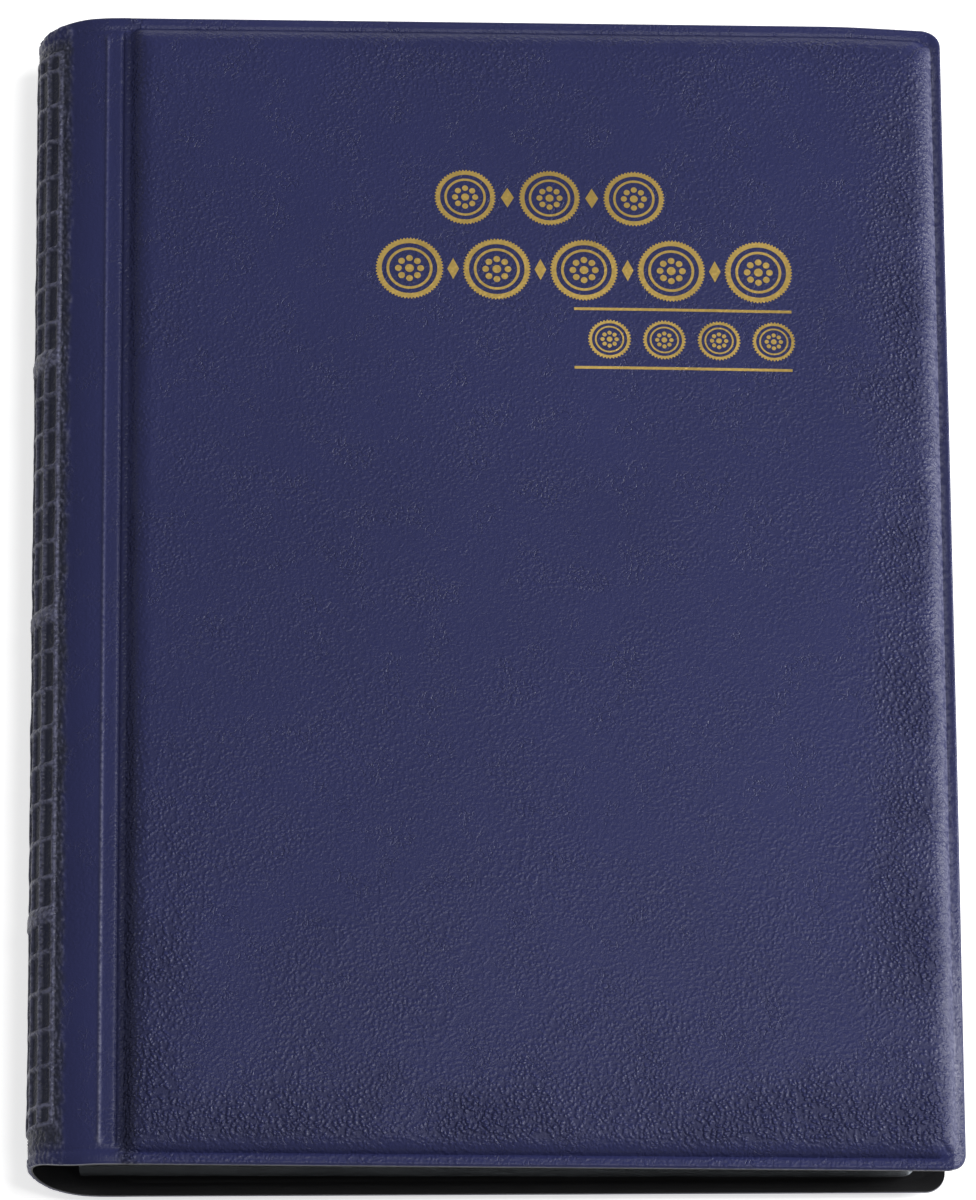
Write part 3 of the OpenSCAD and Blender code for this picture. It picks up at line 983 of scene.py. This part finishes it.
class COINALBUM_OT_pages(Operator):
    """Build the ten clear pocket pages"""

    bl_idname = "coin_album.pages"
    bl_label = "Pocket Pages"

    def execute(self, context):
        s = context.scene.album_sizes
        slope = s.wedge / 2
        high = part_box("page_01_backing")[1]
        width = (high.x / MM - FOLD["page_01_turn"][0]) / math.cos(slope)
        half = high.y / MM
        sheet_t, film_t, space, margin, weld, corner = 0.18, 0.26, 0.1, 4.6, 1.6, 2
        row_l = width - margin - weld / 2
        cols, rows = s.pocket_cols, s.pocket_rows
        pocket_p, row_p = (row_l - weld) / cols, (2 * half - 2 * weld) / rows

        def sheet(x, y, top):
            px, py = x, y
            dx, dy = x - width + corner, abs(y) - half + corner
            if dx > 0 and dy > 0:
                k = max(dx, dy) / math.hypot(dx, dy)
                px, py = width - corner + dx * k, math.copysign(half - corner + dy * k, y)
            return Vector((px, py, sheet_t / 2 if top else -sheet_t / 2))

        def sheet_weld_and_corner_glint(x, y, top):
            # a painted highlight at the fore corners, where a page catches the light, and the whitish weld near
            # the binding
            return hill(math.hypot(width - x, half - abs(y)), 0.0, 1.3) + 0.3 * hill(x, 3.2, 0.6)

        bm = new_bmesh("weld")
        in_from_edge = (corner, 1.6, 1.2, 0.8, 0.4, 0.15)
        xs = stops(0.5, width, 5, [width - d for d in in_from_edge])
        ys = stops(-half, half, 5, [sign * (half - d) for sign in (-1, 1) for d in in_from_edge])
        made = slab(bm, xs, ys, sheet)
        paint(bm, "weld", made, sheet_weld_and_corner_glint)
        backing = to_piece(bm, "page_backing", clear_film()).data

        bm = new_bmesh("weld")
        for row in range(rows):
            base = -half + weld + row * row_p

            def inside(x, y):
                """How far inside a pocket, in mm; 0 on a weld."""
                u = (x % pocket_p) - weld
                side = min(u, pocket_p - weld - u)
                return max(min(side, y - weld), 0.0)

            def strip(x, y, top):
                d = inside(x, y)
                open_ = smooth(0.0, 0.8, d)
                belly = 0.09 * smooth(0.0, 12.0, d)
                lift = film_t * (0.55 + 0.45 * open_) + belly if top else space * open_ + belly * 0.6
                return Vector((margin + x, base + y, sheet_t / 2 + lift))

            def strip_weld(x, y, top):
                return 0.9 * (1 - smooth(0.0, 0.5, inside(x, y))) * smooth(1.0, 3.0, base + y + half)

            by_weld = (-0.9, -0.4, 0, 0.4, weld, weld + 0.4, weld + 0.9)
            xs = stops(0, row_l, 3.2, [c * pocket_p + d for c in range(cols + 1) for d in by_weld])
            ys = stops(0, row_p - 0.6, 3.2, [0.3, weld, weld + 0.4, weld + 0.9, weld + 2])
            made = slab(bm, xs, ys, strip)
            paint(bm, "weld", made, strip_weld)
        pockets = to_piece(bm, "page_pockets", clear_film()).data

        for old in ("page_backing", "page_pockets"):
            bpy.data.objects.remove(bpy.data.objects[old])
        for i in range(1, 11):
            x, z = FOLD[f"page_{i:02d}_turn"]
            turn = Matrix.Translation((x * MM, 0, z * MM)) @ Matrix.Rotation(slope, 4, "Y")
            for part, mesh, node in (("sheet", backing, "backing"), ("pocket_film", pockets, "pockets")):
                copy = mesh.copy()
                copy.name = f"page_{i:02d}_{part}"
                copy.transform(turn)
                piece = add_object(copy.name, copy)
                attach(piece, f"page_{i:02d}")
                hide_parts(f"page_{i:02d}_{node}")
        return {"FINISHED"}


class COINALBUM_OT_inside(Operator):
    """Give the foam, the boards and the page binding their materials"""

    bl_idname = "coin_album.inside"
    bl_label = "Foam, Boards and Binding"

    def execute(self, context):
        foam = solid_stuff("foam_sheet", (0.80, 0.78, 0.70), (0.58, 0.56, 0.48), 1300.0, 0.0002, 0.85, True)
        board = solid_stuff("grey_board", (0.42, 0.35, 0.25), (0.26, 0.21, 0.14), 700.0, 0.0001, 0.8)
        strip = solid_stuff("binding_strip", (0.62, 0.64, 0.67), (0.50, 0.52, 0.55), 260.0, 0.00005, 0.32)
        for name, material in (("front_foam", foam), ("back_foam", foam), ("front_board", board),
                               ("back_board", board), ("page_binding", strip)):
            node = frame["nodes"][name]
            for slot in node.material_slots:
                slot.material = material
        return {"FINISHED"}


def flat_ring(bm, x, y, outer, inner, teeth=0):
    """A flat ring at z 0, with a reeded outer edge if it has teeth."""
    n = teeth * 4 if teeth else 72
    rim = bmesh.ops.create_circle(bm, segments=n, radius=outer)["verts"]
    hole = bmesh.ops.create_circle(bm, segments=n, radius=inner)["verts"]
    if teeth:
        dents = [v for k, v in enumerate(rim) if k % 4 in (0, 1)]
        bmesh.ops.scale(bm, vec=(1 - 0.2 / outer,) * 2 + (1,), verts=dents)
    edges = {e for v in rim + hole for e in v.link_edges}
    bmesh.ops.bridge_loops(bm, edges=list(edges))
    bmesh.ops.translate(bm, vec=(x, y, 0), verts=rim + hole)


def flat_shape(bm, x, y, width, height, sides=4, turn=0.0):
    """A flat diamond, bar or disc at z 0."""
    verts = bmesh.ops.create_circle(bm, cap_ends=True, segments=sides, radius=0.5)["verts"]
    bmesh.ops.rotate(bm, cent=(0, 0, 0), matrix=Matrix.Rotation(turn, 3, "Z"), verts=verts)
    spread = math.sqrt(2) if sides == 4 and turn else 1.0
    bmesh.ops.scale(bm, vec=(width * spread, height * spread, 1), verts=verts)
    bmesh.ops.translate(bm, vec=(x, y, 0), verts=verts)


def coin_mark(bm, x, y, size):
    """A generic coin: a reeded ring, a fine ring and a rosette."""
    r = size / 2
    flat_ring(bm, x, y, r, r * 0.82, int(size * 6))
    flat_ring(bm, x, y, r * 0.68, r * 0.60)
    for k in range(8):
        a = k * math.pi / 4
        flat_shape(bm, x + r * 0.33 * math.cos(a), y + r * 0.33 * math.sin(a), r * 0.2, r * 0.2, 16)
    flat_shape(bm, x, y, r * 0.26, r * 0.26, 20)


class COINALBUM_OT_ornament(Operator):
    """Press the gold foil ornament into the front cover"""

    bl_idname = "coin_album.ornament"
    bl_label = "Foil Ornament"

    def execute(self, context):
        s = context.scene.album_sizes
        width = cover_width("front_skin")
        bm = bmesh.new()
        rows = (  # coins, x of the first, pitch, y, coin size, width and height of the diamonds between
            (3, 52.6, 13.0, 63.6, 9.4, 2.0, 3.4),
            (5, 44.0, 13.4, 51.3, 10.4, 1.8, 3.6),
            (4, 74.6, 8.4, 39.6, 6.6, 0.0, 0.0),
        )
        for coins, first, pitch, y, size, gem_w, gem_h in rows:
            for k in range(coins):
                coin_mark(bm, first + pitch * k, y, size)
            for k in range(coins - 1 if gem_w else 0):
                flat_shape(bm, first + pitch * (k + 0.5), y, gem_w, gem_h)
        for y in (44.7, 34.8):
            flat_shape(bm, 85.9, y, 33.4, 0.45, 4, math.pi / 4)
        bmesh.ops.subdivide_edges(bm, edges=[e for e in bm.edges if e.calc_length() > 6], cuts=12)
        bmesh.ops.reverse_faces(bm, faces=[f for f in bm.faces if f.normal.z < 0])
        bmesh.ops.solidify(bm, geom=bm.faces[:], thickness=WORK_T)
        high = max(v.co.z for v in bm.verts)
        for v in bm.verts:
            x, y = v.co.x, v.co.y
            lift = 0.028 if abs(v.co.z - high) < WORK_T / 2 else -0.02
            h = film_height(x, y, width, s.front_rise / MM, s.front_crown / MM, 1.0)
            v.co = on_front(x, y, RIM_T + h + lift)
        piece = to_piece(bm, "foil_ornament", foil())
        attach(piece, "front_cover")
        return {"FINISHED"}


def area_light(name, place, aim, size, power):
    """A square soft light."""
    light = bpy.data.lights.new(name, "AREA")
    light.size, light.energy = size, power
    lamp = add_object(name, light)
    lamp.location = place
    lamp.rotation_euler = (Vector(aim) - Vector(place)).to_track_quat("-Z", "Y").to_euler()


def seen_directly(tree):
    """1 for what the camera, a reflection or a clear film shows of the background."""
    path = tree.nodes.new("ShaderNodeLightPath")
    first = math_node(tree, "MAXIMUM", path.outputs["Is Camera Ray"], path.outputs["Is Glossy Ray"])
    return math_node(tree, "MAXIMUM", first, path.outputs["Is Transmission Ray"])


class COINALBUM_OT_stage(Operator):
    """Set the camera, the lights, the world and a plain white floor"""

    bl_idname = "coin_album.stage"
    bl_label = "Stage"

    def execute(self, context):
        bm = bmesh.new()
        bmesh.ops.create_grid(bm, x_segments=4, y_segments=4, size=2500)
        bmesh.ops.translate(bm, vec=(0, 0, -0.05), verts=bm.verts)
        material, tree, shader = material_base("floor")
        speck = noise_node(tree, coordinates(tree), 6.0)
        white = mix_colour(tree, speck, (0.86, 0.86, 0.86), (0.88, 0.88, 0.88))
        tree.links.new(white, shader.inputs["Base Color"])
        shader.inputs["Roughness"].default_value = 0.9
        shader.inputs["Specular IOR Level"].default_value = 0.1
        glow = tree.nodes.new("ShaderNodeEmission")
        tree.links.new(math_node(tree, "MULTIPLY", seen_directly(tree), 0.62), glow.inputs["Strength"])
        both = tree.nodes.new("ShaderNodeAddShader")
        tree.links.new(shader.outputs[0], both.inputs[0])
        tree.links.new(glow.outputs[0], both.inputs[1])
        tree.links.new(both.outputs[0], tree.nodes["Material Output"].inputs["Surface"])
        to_piece(bm, "floor", material)

        world = bpy.data.worlds.new("studio")
        world.use_nodes = True
        context.scene.world = world
        sky = world.node_tree.nodes["Background"]
        sky.inputs["Color"].default_value = (1, 1, 1, 1)
        sky.inputs["Strength"].default_value = 0.30

        area_light("top_light", (0.34, -0.14, 1.12), (0, 0, 0), 0.34, 5.5)
        area_light("fore_light", (0.75, 0.14, 0.36), (0.02, -0.03, 0), 0.32, 7.5)

        azimuth, elevation, roll = (math.radians(a) for a in (0.618, 66.128, 0.305))
        target, distance = Vector((-0.000701, -0.000326, 0.008)), 1.756
        look = Vector((math.sin(azimuth) * math.cos(elevation), math.cos(azimuth) * math.cos(elevation),
                       -math.sin(elevation)))
        right = look.cross(Vector((0, 0, 1))).normalized()
        up = right.cross(look)
        right, up = (right * math.cos(roll) + up * math.sin(roll), up * math.cos(roll) - right * math.sin(roll))
        data = bpy.data.cameras.new("camera")
        sensor, focal_pixels, picture_h = 36.0, 11528.5, 1200
        data.sensor_width, data.lens = sensor, focal_pixels / picture_h * sensor
        camera = add_object("camera", data)
        turn = Matrix((right, up, -look)).transposed().to_4x4()
        camera.matrix_world = Matrix.Translation(target - look * distance) @ turn
        context.scene.camera = camera
        context.scene.view_settings.view_transform = "Standard"
        return {"FINISHED"}


class COINALBUM_PT_panel(Panel):
    """Sidebar panel of the coin album"""

    bl_idname = "COINALBUM_PT_panel"
    bl_label = "Coin Album"
    bl_space_type = "VIEW_3D"
    bl_region_type = "UI"
    bl_category = "Coin Album"

    def draw(self, context):
        column = self.layout.column(align=True)
        for operator in OPERATORS:
            column.operator(operator.bl_idname)
        for group in (context.scene.album_sizes, context.scene.album_finish):
            box = self.layout.box()
            for name in group.bl_rna.properties.keys():
                if name not in ("rna_type", "name"):
                    box.prop(group, name)


OPERATORS = (
    COINALBUM_OT_covers,
    COINALBUM_OT_linings,
    COINALBUM_OT_spine,
    COINALBUM_OT_spine_lining,
    COINALBUM_OT_pages,
    COINALBUM_OT_inside,
    COINALBUM_OT_ornament,
    COINALBUM_OT_stage,
)
CLASSES = (AlbumSizes, AlbumFinish, *OPERATORS, COINALBUM_PT_panel)


def register():
    for cls in CLASSES:
        bpy.utils.register_class(cls)
    bpy.types.Scene.album_sizes = PointerProperty(type=AlbumSizes)
    bpy.types.Scene.album_finish = PointerProperty(type=AlbumFinish)


def unregister():
    del bpy.types.Scene.album_finish
    del bpy.types.Scene.album_sizes
    for cls in reversed(CLASSES):
        bpy.utils.unregister_class(cls)


def main():
    register()
    for operator in OPERATORS:
        group, name = operator.bl_idname.split(".")
        getattr(getattr(bpy.ops, group), name)()


if __name__ == "__main__":
    main()
